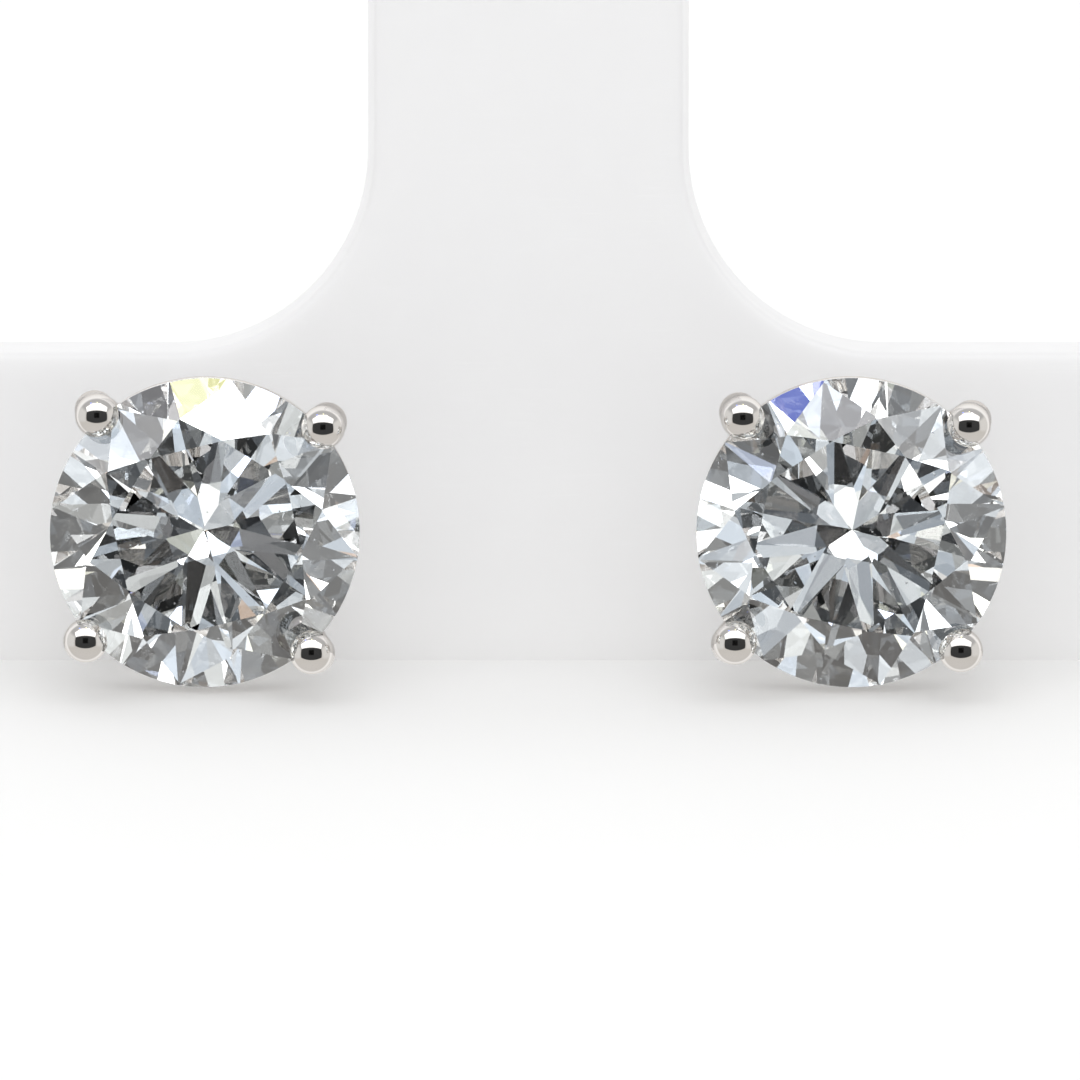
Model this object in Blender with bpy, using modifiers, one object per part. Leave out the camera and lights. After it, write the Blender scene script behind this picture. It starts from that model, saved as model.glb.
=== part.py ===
"""A pair of four-prong stud earrings on a plain display stand, in metres, +Z up.

The stand is an inverted-T plate that leans back on a rear strut. Each stud is a
round brilliant in a soldered basket, its post through a hole in the plate and a
plain push-on back behind it. The plate has a frame of its own, in which the studs
are laid out too: X to the viewer's right, Y up along the plate, Z straight out of
its face, with the zero on the line where the face meets the floor.
"""

import math

import bmesh
import bpy
from mathutils import Matrix, Vector

MM = 0.001

# Stand, in millimetres and degrees.
LEAN = 10.0
PLATE_THICK = 2.8
EDGE_ROUND = 0.25
BAR_LENGTH = 30.0
BAR_TOP = 6.73
BAR_CORNER = 1.2
NECK_WIDTH = 6.88
NECK_TOP = 30.0
NECK_CORNER = 2.4
FILLET = 4.15
STRUT_WIDTH = 5.6
STRUT_TOP = 21.0
STRUT_REACH = 15.0
STRUT_HEEL = 1.2
STRUT_HEEL_ANGLE = 55.0

# Stone, in millimetres and degrees. A star is a share of the way from the table's
# edge to the girdle, a lower half a share of the way from the girdle to the point.
STONE_DIAMETER = 6.5
TABLE_WIDTH = 4.04
GIRDLE_THICK = 0.195
CROWN_ANGLE = 34.5
PAVILION_ANGLE = 40.8
STAR_SHARE = 0.45
LOWER_SHARE = 0.77
GIRDLE_SIDES = 64

# Setting: what holds the stone is measured from its edge and its girdle's middle,
# and the basket's own base from the plate's face.
SEAT_CLEARANCE = 0.05
CULET_CLEARANCE = 0.48
BALL_DIAMETER = 0.92
BALL_OUTSIDE = 0.1
BALL_LIFT = 0.37
PRONG_WIRE = 0.84
KNEE_OUTSIDE = 0.2
KNEE_DROP = 0.15
RAIL_WIRE = 0.6
UPPER_RAIL_OUTSIDE = -0.03
UPPER_RAIL_DROP = 1.0
LOWER_RAIL_CIRCLE = 3.7
BASE_STANDOFF = 0.32
BRIDGE_WIDTH = 0.7
BRIDGE_THICK = 0.4

# Post, its hole and its back.
POST_DIAMETER = 0.8
POST_REACH = 9.5
POST_TIP = 0.2
HOLE_CLEARANCE = 0.12
BACK_DIAMETER = 3.4
BACK_RIM = 0.8
BACK_HUB = 2.2
BACK_LENGTH = 2.5
BACK_ROUND = 0.2
BACK_CLEARANCE = 0.05
BACK_STANDOFF = 0.3

# Where the studs sit on the plate, and how each one is turned. Both hang nose down
# in their holes, about the girdle's middle. Then come the roll of the prongs, the
# swing of the stone in its seat, its front to the viewer's right, and the direction
# of the first kite facet, from +X towards +Y.
STUD_SPREAD = 13.56
FLOOR_CLEARANCE = 0.385
DROOP_ANGLE = 2.4
LEFT_ROLL_ANGLE = -3.0
LEFT_SWING_ANGLE = 4.0
LEFT_KITE_ANGLE = 80.5
RIGHT_ROLL_ANGLE = -1.9
RIGHT_SWING_ANGLE = -3.3
RIGHT_KITE_ANGLE = 100.3


def studs():
    """Each stud's side, its place along X, then its roll, swing and kite direction."""
    left = (LEFT_ROLL_ANGLE, LEFT_SWING_ANGLE, LEFT_KITE_ANGLE)
    right = (RIGHT_ROLL_ANGLE, RIGHT_SWING_ANGLE, RIGHT_KITE_ANGLE)
    return (
        ("left", -STUD_SPREAD / 2, *left),
        ("right", STUD_SPREAD / 2, *right),
    )


def lean():
    return math.radians(LEAN)


def crown_height():
    return (STONE_DIAMETER - TABLE_WIDTH) / 2 * math.tan(math.radians(CROWN_ANGLE))


def pavilion_depth():
    return STONE_DIAMETER / 2 * math.tan(math.radians(PAVILION_ANGLE))


def foot_height():
    """The lower rail's middle over the plate's face."""
    return BASE_STANDOFF + RAIL_WIRE / 2


def girdle_height():
    """The girdle's middle over the plate's face: the point clears the bridges."""
    below = CULET_CLEARANCE + pavilion_depth() + GIRDLE_THICK / 2
    return foot_height() + BRIDGE_THICK / 2 + below


def stud_height():
    """Up the plate to the studs' axis, so that the stones clear the floor."""
    ahead = girdle_height() * math.sin(lean())
    return STONE_DIAMETER / 2 + (FLOOR_CLEARANCE - ahead) / math.cos(lean())


def stud_turn(roll):
    """How a stud hangs: nose down by its droop, and rolled about its post."""
    droop = Matrix.Rotation(math.radians(DROOP_ANGLE), 4, "X")
    return droop @ Matrix.Rotation(math.radians(roll), 4, "Z")


def stone_turn(roll, swing, kite):
    """How a stone lies in its seat: swung to one side, and turned to its facets."""
    swung = Matrix.Rotation(math.radians(swing), 4, "Y")
    return swung @ Matrix.Rotation(math.radians(kite - roll), 4, "Z")


def stone_front():
    """The foremost table corner of the two stones, before the plate's lower edge."""
    ahead = Vector((0, -math.sin(lean()), math.cos(lean())))
    table = GIRDLE_THICK / 2 + crown_height()
    reach = []
    for _, across, roll, swing, kite in studs():
        middle = Vector((across, stud_height(), girdle_height()))
        turn = stud_turn(roll) @ stone_turn(roll, swing, kite)
        for x, y in arc((0.0, 0.0), TABLE_WIDTH / 2, 0, 360, 8):
            reach.append((middle + turn @ Vector((x, y, table))).dot(ahead))
    return max(reach)


def rest_centre():
    """Back from the plate's lower front edge to the middle of the whole depth."""
    return (STRUT_REACH - stone_front()) / 2


def hole_height():
    """Up the plate to where the drooping posts cross the middle of its thickness."""
    behind = girdle_height() + PLATE_THICK / 2
    return stud_height() + behind * math.tan(math.radians(DROOP_ANGLE))


def clear_scene():
    for item in list(bpy.data.objects):
        bpy.data.objects.remove(item, do_unlink=True)


def new_collection(name):
    group = bpy.data.collections.new(name)
    bpy.context.scene.collection.children.link(group)
    return group


def new_material(name, colour, roughness, metallic):
    """A Principled material from the colour in the photograph."""
    material = bpy.data.materials.new(name)
    material.use_nodes = True
    shader = material.node_tree.nodes["Principled BSDF"]
    shader.inputs["Base Color"].default_value = (*colour, 1.0)
    shader.inputs["Roughness"].default_value = roughness
    shader.inputs["Metallic"].default_value = metallic
    return material


def stand_material():
    return new_material("stand_white", (0.82, 0.82, 0.83), 0.42, 0.0)


def metal_material():
    return new_material("white_gold", (0.80, 0.79, 0.77), 0.12, 1.0)


def stone_material():
    material = new_material("clear_stone", (1.0, 1.0, 1.0), 0.0, 0.0)
    shader = material.node_tree.nodes["Principled BSDF"]
    shader.inputs["Transmission Weight"].default_value = 1.0
    shader.inputs["IOR"].default_value = 2.417
    return material


def place(name, data, group, parent=None, matrix=None):
    """Link one object under a name, on its parent."""
    item = bpy.data.objects.new(name, data)
    group.objects.link(item)
    item.parent = parent
    if matrix is not None:
        item.matrix_basis = matrix
    return item


def hide_tool(item):
    item.hide_render = True
    item.display_type = "WIRE"
    return item


def smooth(item, degrees=30.0):
    item.data.shade_smooth()
    item.data.set_sharp_from_angle(angle=math.radians(degrees))


def curve_to_mesh(item, name, group):
    """The curve as a closed mesh in the same place; the curve goes."""
    bpy.context.view_layer.update()
    graph = bpy.context.evaluated_depsgraph_get()
    data = bpy.data.meshes.new_from_object(item.evaluated_get(graph))
    mesh = bmesh.new()
    mesh.from_mesh(data)
    bmesh.ops.remove_doubles(mesh, verts=mesh.verts, dist=0.0005 * MM)
    bmesh.ops.recalc_face_normals(mesh, faces=mesh.faces)
    mesh.to_mesh(data)
    mesh.free()
    data.name = name
    solid = bpy.data.objects.new(name, data)
    group.objects.link(solid)
    solid.parent = item.parent
    solid.matrix_world = item.matrix_world
    curve = item.data
    bpy.data.objects.remove(item, do_unlink=True)
    bpy.data.curves.remove(curve)
    return solid


def flat_curve(name, points, thick, rounding, group, parent, matrix):
    """A flat outline in millimetres, given a thickness and rounded edges."""
    curve = bpy.data.curves.new(name, "CURVE")
    curve.dimensions = "2D"
    curve.fill_mode = "BOTH"
    curve.extrude = (thick / 2 - rounding) * MM
    curve.bevel_depth = rounding * MM
    curve.bevel_resolution = 2
    curve.offset = -rounding * MM
    spline = curve.splines.new("POLY")
    spline.points.add(len(points) - 1)
    for point, (x, y) in zip(spline.points, points):
        point.co = (x * MM, y * MM, 0.0, 1.0)
    spline.use_cyclic_u = True
    item = place(name + "_outline", curve, group, parent, matrix)
    return curve_to_mesh(item, name, group)


def combine(item, tool, operation):
    """Join a tool to an object, or cut it away."""
    modifier = item.modifiers.new(operation.lower() + "_" + tool.name, "BOOLEAN")
    modifier.operation = operation
    modifier.object = tool
    modifier.solver = "EXACT"
    hide_tool(tool)


def arc(centre, radius, start, end, steps):
    """Points along an arc, both ends included."""
    turns = [math.radians(start + (end - start) * i / steps) for i in range(steps + 1)]
    return [(centre[0] + radius * math.cos(t), centre[1] + radius * math.sin(t)) for t in turns]


def plate_outline():
    """The inverted T, counter-clockwise, its right half mirrored to the left."""
    half = BAR_LENGTH / 2
    neck = NECK_WIDTH / 2
    bottom = EDGE_ROUND * ((1 + math.sin(lean())) / math.cos(lean()) - 1)
    right = arc((half - BAR_CORNER, bottom + BAR_CORNER), BAR_CORNER, -90, 0, 4)
    right += arc((half - BAR_CORNER, BAR_TOP - BAR_CORNER), BAR_CORNER, 0, 90, 5)
    right += arc((neck + FILLET, BAR_TOP + FILLET), FILLET, 270, 180, 12)
    right += arc((neck - NECK_CORNER, NECK_TOP - NECK_CORNER), NECK_CORNER, 0, 90, 6)
    return right + [(-x, y) for x, y in reversed(right)]


def strut_outline():
    """The rear strut from the side: from the plate's back down to its foot."""
    inside = PLATE_THICK / 2
    top_back = STRUT_TOP * math.sin(lean()) + inside * math.cos(lean())
    top_high = STRUT_TOP * math.cos(lean()) - inside * math.sin(lean())
    below = -4 * EDGE_ROUND
    foot = [(inside / math.cos(lean()), below), (STRUT_REACH, below)]
    heel = arc((STRUT_REACH - STRUT_HEEL, STRUT_HEEL), STRUT_HEEL, 0, STRUT_HEEL_ANGLE, 4)
    return foot + heel + [(top_back + inside / 2, top_high), (top_back, top_high)]


def make_stand(parts, tools, plate_frame):
    stand = flat_curve(
        "stand", plate_outline(), PLATE_THICK, EDGE_ROUND, parts, plate_frame,
        Matrix.Translation((0, 0, -PLATE_THICK / 2 * MM)),
    )
    upright = Matrix.Translation((0, -rest_centre() * MM, 0)) @ Matrix(
        ((0, 0, 1, 0), (1, 0, 0, 0), (0, 1, 0, 0), (0, 0, 0, 1))
    )
    strut = flat_curve(
        "stand_strut", strut_outline(), STRUT_WIDTH, EDGE_ROUND, tools, None, upright
    )
    combine(stand, strut, "UNION")
    below = bmesh.new()
    size = 2 * (BAR_LENGTH + STRUT_REACH) * MM
    bmesh.ops.create_cube(below, size=size)
    under = bpy.data.meshes.new("floor_cut")
    below.to_mesh(under)
    below.free()
    floor_cut = place("floor_cut", under, tools, None, Matrix.Translation((0, 0, -size / 2)))
    combine(stand, floor_cut, "DIFFERENCE")
    for side, across, _, _, _ in studs():
        hole = bmesh.new()
        bmesh.ops.create_cone(
            hole, cap_ends=True, segments=24,
            radius1=(POST_DIAMETER / 2 + HOLE_CLEARANCE) * MM,
            radius2=(POST_DIAMETER / 2 + HOLE_CLEARANCE) * MM,
            depth=3 * PLATE_THICK * MM,
        )
        data = bpy.data.meshes.new(side + "_hole")
        hole.to_mesh(data)
        hole.free()
        centre = Vector((across, hole_height(), -PLATE_THICK / 2)) * MM
        drill = place(side + "_hole", data, tools, plate_frame, Matrix.Translation(centre))
        combine(stand, drill, "DIFFERENCE")
    stand.data.materials.clear()
    stand.data.materials.append(stand_material())
    smooth(stand)


def facet_planes():
    """Every facet as (a point on it, its outward normal), in millimetres.

    The zero is the middle of the girdle, the table looks along +Z, and the first
    kite is on +X. The kites meet the table's corners and reach the girdle; the
    star and half facets follow from where the kites meet each other.
    """
    radius = STONE_DIAMETER / 2
    edge = GIRDLE_THICK / 2
    eighth = math.radians(45.0)
    near = math.cos(eighth / 4)
    middle = math.cos(eighth / 2)
    crown = math.radians(CROWN_ANGLE)
    pavilion = math.radians(PAVILION_ANGLE)
    table_edge = TABLE_WIDTH / 2 * middle
    side = table_edge + STAR_SHARE * (radius - table_edge)
    side_height = (radius - side * middle) * math.tan(crown)
    star = math.atan2(crown_height() - side_height, side - table_edge)
    upper = math.atan2(side_height, (radius - side) * near)
    tip = (1 - LOWER_SHARE) * radius
    tip_depth = (radius - tip * middle) * math.tan(pavilion)
    lower = math.atan2(tip_depth, (radius - tip) * near)
    table = edge + crown_height()
    planes = [(Vector((0, 0, table)), Vector((0, 0, 1)))]

    def add(turn, tilt, reach, height, up):
        out = Vector((math.cos(turn), math.sin(turn), 0))
        normal = out * math.sin(tilt) + Vector((0, 0, up * math.cos(tilt)))
        planes.append((out * reach + Vector((0, 0, height)), normal))

    for i in range(8):
        turn = i * eighth
        add(turn, crown, radius, edge, 1)
        add(turn, pavilion, radius, -edge, -1)
        add(turn + eighth / 2, star, table_edge, table, 1)
        for half in (eighth / 4, 3 * eighth / 4):
            add(turn + half, upper, radius * near, edge, 1)
            add(turn + half, lower, radius * near, -edge, -1)
    return planes


def cut_stone(name, grow):
    """A brilliant cut from a cylinder plane by plane, grown outward all round."""
    radius = STONE_DIAMETER / 2 + grow
    mesh = bmesh.new()
    bmesh.ops.create_cone(
        mesh, cap_ends=True, segments=GIRDLE_SIDES, radius1=radius, radius2=radius,
        depth=2 * STONE_DIAMETER,
    )
    first = max(mesh.verts, key=lambda v: (round(v.co.x, 4), v.co.z))
    align = -math.atan2(first.co.y, first.co.x)
    bmesh.ops.rotate(mesh, verts=mesh.verts, cent=(0, 0, 0), matrix=Matrix.Rotation(align, 3, "Z"))
    for point, normal in facet_planes():
        everything = mesh.verts[:] + mesh.edges[:] + mesh.faces[:]
        cut = bmesh.ops.bisect_plane(
            mesh, geom=everything, dist=0.0002, plane_co=point + normal * grow,
            plane_no=normal, clear_outer=True,
        )
        rim = [part for part in cut["geom_cut"] if isinstance(part, bmesh.types.BMEdge)]
        rim = [edge for edge in rim if edge.is_boundary]
        if rim:
            bmesh.ops.edgeloop_fill(mesh, edges=rim)
    bmesh.ops.recalc_face_normals(mesh, faces=mesh.faces)
    bmesh.ops.scale(mesh, vec=(MM, MM, MM), verts=mesh.verts)
    data = bpy.data.meshes.new(name)
    mesh.to_mesh(data)
    mesh.free()
    return data


def girdle_shift():
    return Matrix.Translation((0, 0, girdle_height() * MM))


def make_stone(side, turn, parts, stud, material):
    stone = place(
        side + "_stone", cut_stone(side + "_stone", 0.0), parts, stud,
        girdle_shift() @ turn,
    )
    stone.data.materials.append(material)


def make_rail(name, circle, height, group, stud):
    bpy.ops.mesh.primitive_torus_add(
        major_segments=40, minor_segments=10, major_radius=circle / 2 * MM,
        minor_radius=RAIL_WIRE / 2 * MM,
    )
    made = bpy.context.object
    data = made.data
    data.name = name
    bpy.data.objects.remove(made, do_unlink=True)
    return place(name, data, group, stud, Matrix.Translation((0, 0, height * MM)))


def prong_directions():
    return [math.radians(45.0 + 90.0 * i) for i in range(4)]


def ball_height():
    return girdle_height() + BALL_LIFT


def ball_reach():
    return STONE_DIAMETER / 2 + BALL_OUTSIDE


def make_prongs(name, group, stud):
    """Four wires from the lower rail to the balls, each bent in at its knee."""
    line = (
        (LOWER_RAIL_CIRCLE / 2, foot_height()),
        (STONE_DIAMETER / 2 + KNEE_OUTSIDE, girdle_height() - KNEE_DROP),
        (ball_reach(), ball_height()),
    )
    curve = bpy.data.curves.new(name, "CURVE")
    curve.dimensions = "3D"
    curve.bevel_depth = PRONG_WIRE / 2 * MM
    curve.bevel_resolution = 3
    curve.use_fill_caps = True
    for turn in prong_directions():
        spline = curve.splines.new("POLY")
        spline.points.add(len(line) - 1)
        for point, (out, up) in zip(spline.points, line):
            point.co = (out * math.cos(turn) * MM, out * math.sin(turn) * MM, up * MM, 1.0)
    item = place(name + "_line", curve, group, stud, Matrix.Identity(4))
    return curve_to_mesh(item, name, group)


def make_balls(name, group, stud):
    mesh = bmesh.new()
    for turn in prong_directions():
        out = Vector((math.cos(turn), math.sin(turn), 0)) * ball_reach()
        spot = Matrix.Translation((out + Vector((0, 0, ball_height()))) * MM)
        bmesh.ops.create_uvsphere(
            mesh, u_segments=16, v_segments=10, radius=BALL_DIAMETER / 2 * MM, matrix=spot
        )
    data = bpy.data.meshes.new(name)
    mesh.to_mesh(data)
    mesh.free()
    return place(name, data, group, stud, Matrix.Identity(4))


def make_bridges(name, group, stud):
    """Two flat bars across the lower rail, each between two opposite prongs."""
    half = LOWER_RAIL_CIRCLE / 2
    wide = BRIDGE_WIDTH / 2
    arm = ((wide, -wide), (half, -wide), (half, wide))
    mesh = bmesh.new()
    corners = []
    for turn in prong_directions():
        for along, across in arm:
            x = along * math.cos(turn) - across * math.sin(turn)
            y = along * math.sin(turn) + across * math.cos(turn)
            corners.append(mesh.verts.new((x * MM, y * MM, -BRIDGE_THICK / 2 * MM)))
    bars = mesh.faces.new(corners)
    raised = bmesh.ops.extrude_face_region(mesh, geom=[bars])
    top = [part for part in raised["geom"] if isinstance(part, bmesh.types.BMVert)]
    bmesh.ops.translate(mesh, vec=(0, 0, BRIDGE_THICK * MM), verts=top)
    bmesh.ops.recalc_face_normals(mesh, faces=mesh.faces)
    data = bpy.data.meshes.new(name)
    mesh.to_mesh(data)
    mesh.free()
    return place(name, data, group, stud, Matrix.Translation((0, 0, foot_height() * MM)))


def turned(name, profile, closed, group, stud):
    """A turned piece: a profile at +X, in millimetres, run around the Z axis."""
    mesh = bmesh.new()
    points = [mesh.verts.new((r * MM, 0, z * MM)) for r, z in profile]
    for start, end in zip(points, points[1:]):
        mesh.edges.new((start, end))
    if closed:
        mesh.edges.new((points[-1], points[0]))
    data = bpy.data.meshes.new(name)
    mesh.to_mesh(data)
    mesh.free()
    item = place(name, data, group, stud, Matrix.Identity(4))
    screw = item.modifiers.new("turn", "SCREW")
    screw.axis = "Z"
    screw.steps = 24
    screw.render_steps = 24
    screw.use_merge_vertices = True
    screw.merge_threshold = 0.000001
    screw.use_normal_calculate = False
    return item


def make_post(name, group, stud):
    radius = POST_DIAMETER / 2
    profile = (
        (0.0, foot_height()),
        (radius, foot_height()),
        (radius, POST_TIP - POST_REACH),
        (radius - POST_TIP, -POST_REACH),
        (0.0, -POST_REACH),
    )
    return turned(name, profile, False, group, stud)


def make_back(side, parts, stud, material):
    """The push-on back: a rim against the plate and a narrower hub behind it."""
    top = -PLATE_THICK - BACK_STANDOFF
    step = top - BACK_RIM
    end = top - BACK_LENGTH
    rim = BACK_DIAMETER / 2
    hub = BACK_HUB / 2
    bore = POST_DIAMETER / 2 + BACK_CLEARANCE
    profile = (
        (bore, top),
        (rim - BACK_ROUND, top),
        (rim, top - BACK_ROUND),
        (rim, step + BACK_ROUND),
        (rim - BACK_ROUND, step),
        (hub, step),
        (hub, end + BACK_ROUND),
        (hub - BACK_ROUND, end),
        (bore, end),
    )
    back = turned(side + "_back", profile, True, parts, stud)
    back.data.materials.append(material)
    smooth(back)


def make_setting(side, turn, parts, tools, stud, material):
    name = side + "_setting"
    upper_circle = STONE_DIAMETER + 2 * UPPER_RAIL_OUTSIDE - RAIL_WIRE
    setting = make_rail(name, upper_circle, girdle_height() - UPPER_RAIL_DROP, parts, stud)
    joined = (
        make_prongs(side + "_prongs", tools, stud),
        make_rail(side + "_lower_rail", LOWER_RAIL_CIRCLE, foot_height(), tools, stud),
        make_balls(side + "_balls", tools, stud),
        make_bridges(side + "_bridges", tools, stud),
        make_post(side + "_post", tools, stud),
    )
    for tool in joined:
        combine(setting, tool, "UNION")
    seat = place(
        side + "_seat", cut_stone(side + "_seat", SEAT_CLEARANCE), tools, stud,
        girdle_shift() @ turn,
    )
    combine(setting, seat, "DIFFERENCE")
    setting.data.materials.clear()
    setting.data.materials.append(material)
    smooth(setting)


def main():
    clear_scene()
    parts = new_collection("stud_earrings_on_stand")
    tools = new_collection("cutters")
    plate_frame = place("plate_frame", None, parts)
    plate_frame.location = (0, -rest_centre() * MM, 0)
    plate_frame.rotation_euler = (math.radians(90.0 - LEAN), 0, 0)
    make_stand(parts, tools, plate_frame)
    metal = metal_material()
    clear = stone_material()
    for side, across, roll, swing, kite in studs():
        middle = Vector((across, stud_height(), girdle_height())) * MM
        hung = Matrix.Translation(middle) @ stud_turn(roll) @ girdle_shift().inverted()
        stud = place(side + "_stud", None, parts, plate_frame, hung)
        turn = stone_turn(roll, swing, kite)
        make_stone(side, turn, parts, stud, clear)
        make_setting(side, turn, parts, tools, stud, metal)
        make_back(side, parts, stud, metal)


main()
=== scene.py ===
import math
import random

import bmesh
import bpy
from mathutils import Matrix, Vector


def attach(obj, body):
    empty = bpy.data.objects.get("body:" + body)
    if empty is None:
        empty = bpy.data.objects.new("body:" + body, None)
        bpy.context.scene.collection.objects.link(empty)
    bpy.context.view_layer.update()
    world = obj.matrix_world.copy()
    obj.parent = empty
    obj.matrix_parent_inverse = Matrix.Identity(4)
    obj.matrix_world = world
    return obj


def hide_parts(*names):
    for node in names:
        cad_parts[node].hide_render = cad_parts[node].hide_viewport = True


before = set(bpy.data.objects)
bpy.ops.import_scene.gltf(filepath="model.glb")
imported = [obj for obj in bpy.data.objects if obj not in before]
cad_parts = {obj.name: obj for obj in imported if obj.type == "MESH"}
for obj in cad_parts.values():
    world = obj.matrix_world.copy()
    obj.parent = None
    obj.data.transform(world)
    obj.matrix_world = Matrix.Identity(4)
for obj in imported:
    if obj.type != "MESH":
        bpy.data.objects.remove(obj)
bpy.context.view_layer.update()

# A pair of stud earrings on their display stand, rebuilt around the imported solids.
# Lengths are in millimetres and turns in degrees until a mesh is placed. The plate has
# its own frame: X to the right, Y up the plate, Z straight out of its face.
MM = 0.001

# Where everything stands, as in the part's source.
LEAN = 10.0
REST_CENTRE = 5.0723
STUD_HEIGHT = 2.8999
GIRDLE_HEIGHT = 4.2028
FOOT_HEIGHT = 0.62

# Each stud's side and place along X, the roll of its prongs, then its stone: how far it is
# swung to the right, where its first kite looks, and the seed of its cutter's hand.
DROOP = 2.4
STUDS = (
    ("left", -6.78, -3.0, 4.0, 80.5, 5),
    ("right", 6.78, -1.9, -3.3, 100.3, 11),
)

# Plate and strut.
PLATE_THICK = 2.8
BAR_LENGTH = 30.0
BAR_TOP = 6.73
BAR_CORNER = 1.2
NECK_WIDTH = 6.88
NECK_TOP = 30.0
NECK_CORNER = 2.4
FILLET = 4.15
PLATE_BOTTOM = 0.048
STRUT_WIDTH = 5.6
STRUT_TOP = 21.0
STRUT_REACH = 15.0
STRUT_HEEL = 1.2
STRUT_ROUND = 0.25
HOLE_DIAMETER = 1.04
HOLE_HEIGHT = 3.1347

# The moulded edge from the back of the plate to its face: how far each ring is drawn
# in, how deep it lies, and how far its bottom edge is lifted off the floor line.
EDGE_RINGS = (
    (0.25, -2.80, 0.25),
    (0.13, -2.775, 0.13),
    (0.045, -2.70, 0.045),
    (0.0, -2.58, 0.0),
    (0.05, -1.80, -0.10),
    (0.10, -1.00, -0.20),
    (0.14, -0.34, -0.30),
    (0.148, -0.26, -0.28),
    (0.157, -0.205, -0.25),
    (0.175, -0.158, -0.21),
    (0.21, -0.118, -0.165),
    (0.26, -0.088, -0.10),
    (0.31, -0.069, -0.02),
    (0.38, -0.051, 0.05),
    (0.46, -0.036, 0.12),
    (0.57, -0.020, 0.20),
    (0.70, -0.009, 0.31),
    (0.86, -0.0025, 0.46),
    (1.08, 0.0, 0.75),
)

# Stone. The wobble is how far, in degrees, a facet may lie off its mark.
STONE_DIAMETER = 6.5
TABLE_WIDTH = 4.04
GIRDLE_THICK = 0.195
CROWN_ANGLE = 34.5
PAVILION_ANGLE = 40.8
STAR_SHARE = 0.45
LOWER_SHARE = 0.77
GIRDLE_SIDES = 128
STONE_WOBBLE = 0.55
STONE_REFRACTION = 2.417
SEAT_CLEARANCE = 0.05

# Basket.
BALL_DIAMETER = 0.92
BALL_REACH = 3.35
BALL_HEIGHT = GIRDLE_HEIGHT + 0.37
PRONG_WIRE = 0.84
KNEE_REACH = 3.45
KNEE_HEIGHT = GIRDLE_HEIGHT - 0.15
RAIL_WIRE = 0.6
UPPER_RAIL_RADIUS = 2.92
UPPER_RAIL_HEIGHT = GIRDLE_HEIGHT - 1.0
LOWER_RAIL_RADIUS = 1.85
BRIDGE_WIDTH = 0.7
BRIDGE_THICK = 0.4
POST_DIAMETER = 0.8
POST_REACH = 9.5

# Push-on back: its outline at +X, radius and height, from the bore's front end round.
BACK_FRONT = -PLATE_THICK - 0.3
BACK_OUTLINE = (
    (0.45, 0.0), (1.45, 0.0), (1.56, -0.02), (1.65, -0.09), (1.695, -0.19), (1.7, -0.3),
    (1.7, -0.5), (1.695, -0.61), (1.65, -0.71), (1.56, -0.78), (1.45, -0.8),
    (1.30, -0.80), (1.20, -0.83), (1.13, -0.89), (1.1, -0.98),
    (1.1, -2.3), (1.085, -2.39), (1.03, -2.46), (0.95, -2.495), (0.86, -2.5),
    (0.6, -2.5), (0.52, -2.47), (0.45, -2.40),
)

# Camera: where it stands over the girdles' plane, in the plate's frame.
VIEW_ACROSS = 0.25
VIEW_UP = 2.576
VIEW_ABOVE = 2.25
VIEW_DISTANCE = 284.3
LENS = 445.0
SENSOR = 36.0


# ---------------------------------------------------------------- placing and pieces

def plate_place():
    """The plate's frame in the world, from millimetres to metres."""
    lean = Matrix.Rotation(math.radians(90.0 - LEAN), 4, "X")
    return Matrix.Translation((0, -REST_CENTRE * MM, 0)) @ lean @ Matrix.Scale(MM, 4)


def stud_place(across, roll):
    """A stud's own frame: nose down about its girdle's middle, rolled on its post."""
    middle = Matrix.Translation((across, STUD_HEIGHT, GIRDLE_HEIGHT))
    droop = Matrix.Rotation(math.radians(DROOP), 4, "X")
    rolled = Matrix.Rotation(math.radians(roll), 4, "Z")
    return plate_place() @ middle @ droop @ rolled @ Matrix.Translation((0, 0, -GIRDLE_HEIGHT))


def stone_place(roll, swing, kite):
    """Where a stone, or the cutter of its seat, lies in its stud's frame."""
    middle = Matrix.Translation((0, 0, GIRDLE_HEIGHT))
    swung = Matrix.Rotation(math.radians(swing), 4, "Y")
    return middle @ swung @ Matrix.Rotation(math.radians(kite - roll), 4, "Z")


def new_object(name, mesh):
    made = bpy.data.objects.new(name, mesh)
    bpy.context.scene.collection.objects.link(made)
    return made


def applied(made):
    """The object's evaluated mesh, with its modifiers in it, as a plain mesh."""
    graph = bpy.context.evaluated_depsgraph_get()
    graph.update()
    baked = bpy.data.meshes.new_from_object(made.evaluated_get(graph), depsgraph=graph)
    made.modifiers.clear()
    made.data = baked
    return made


def combine(made, tool, operation, self_crossing=False):
    """Join a tool to a piece or cut it away, and keep the plain result."""
    modifier = made.modifiers.new("combine", "BOOLEAN")
    modifier.operation = operation
    modifier.object = tool
    modifier.solver = "EXACT"
    modifier.use_self = self_crossing
    applied(made)
    bpy.data.objects.remove(tool, do_unlink=True)


def tidy(mesh, distance=1e-7):
    """Merge doubles and turn every face outwards."""
    shape = bmesh.new()
    shape.from_mesh(mesh)
    bmesh.ops.remove_doubles(shape, verts=shape.verts, dist=distance)
    bmesh.ops.recalc_face_normals(shape, faces=shape.faces)
    shape.to_mesh(mesh)
    shape.free()


def smooth(mesh, degrees):
    mesh.shade_smooth()
    mesh.set_sharp_from_angle(angle=math.radians(degrees))


def arc(centre, radius, start, end, steps):
    turns = [math.radians(start + (end - start) * i / steps) for i in range(steps + 1)]
    return [(centre[0] + radius * math.cos(t), centre[1] + radius * math.sin(t)) for t in turns]


# ------------------------------------------------------------------------ the stand

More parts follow.
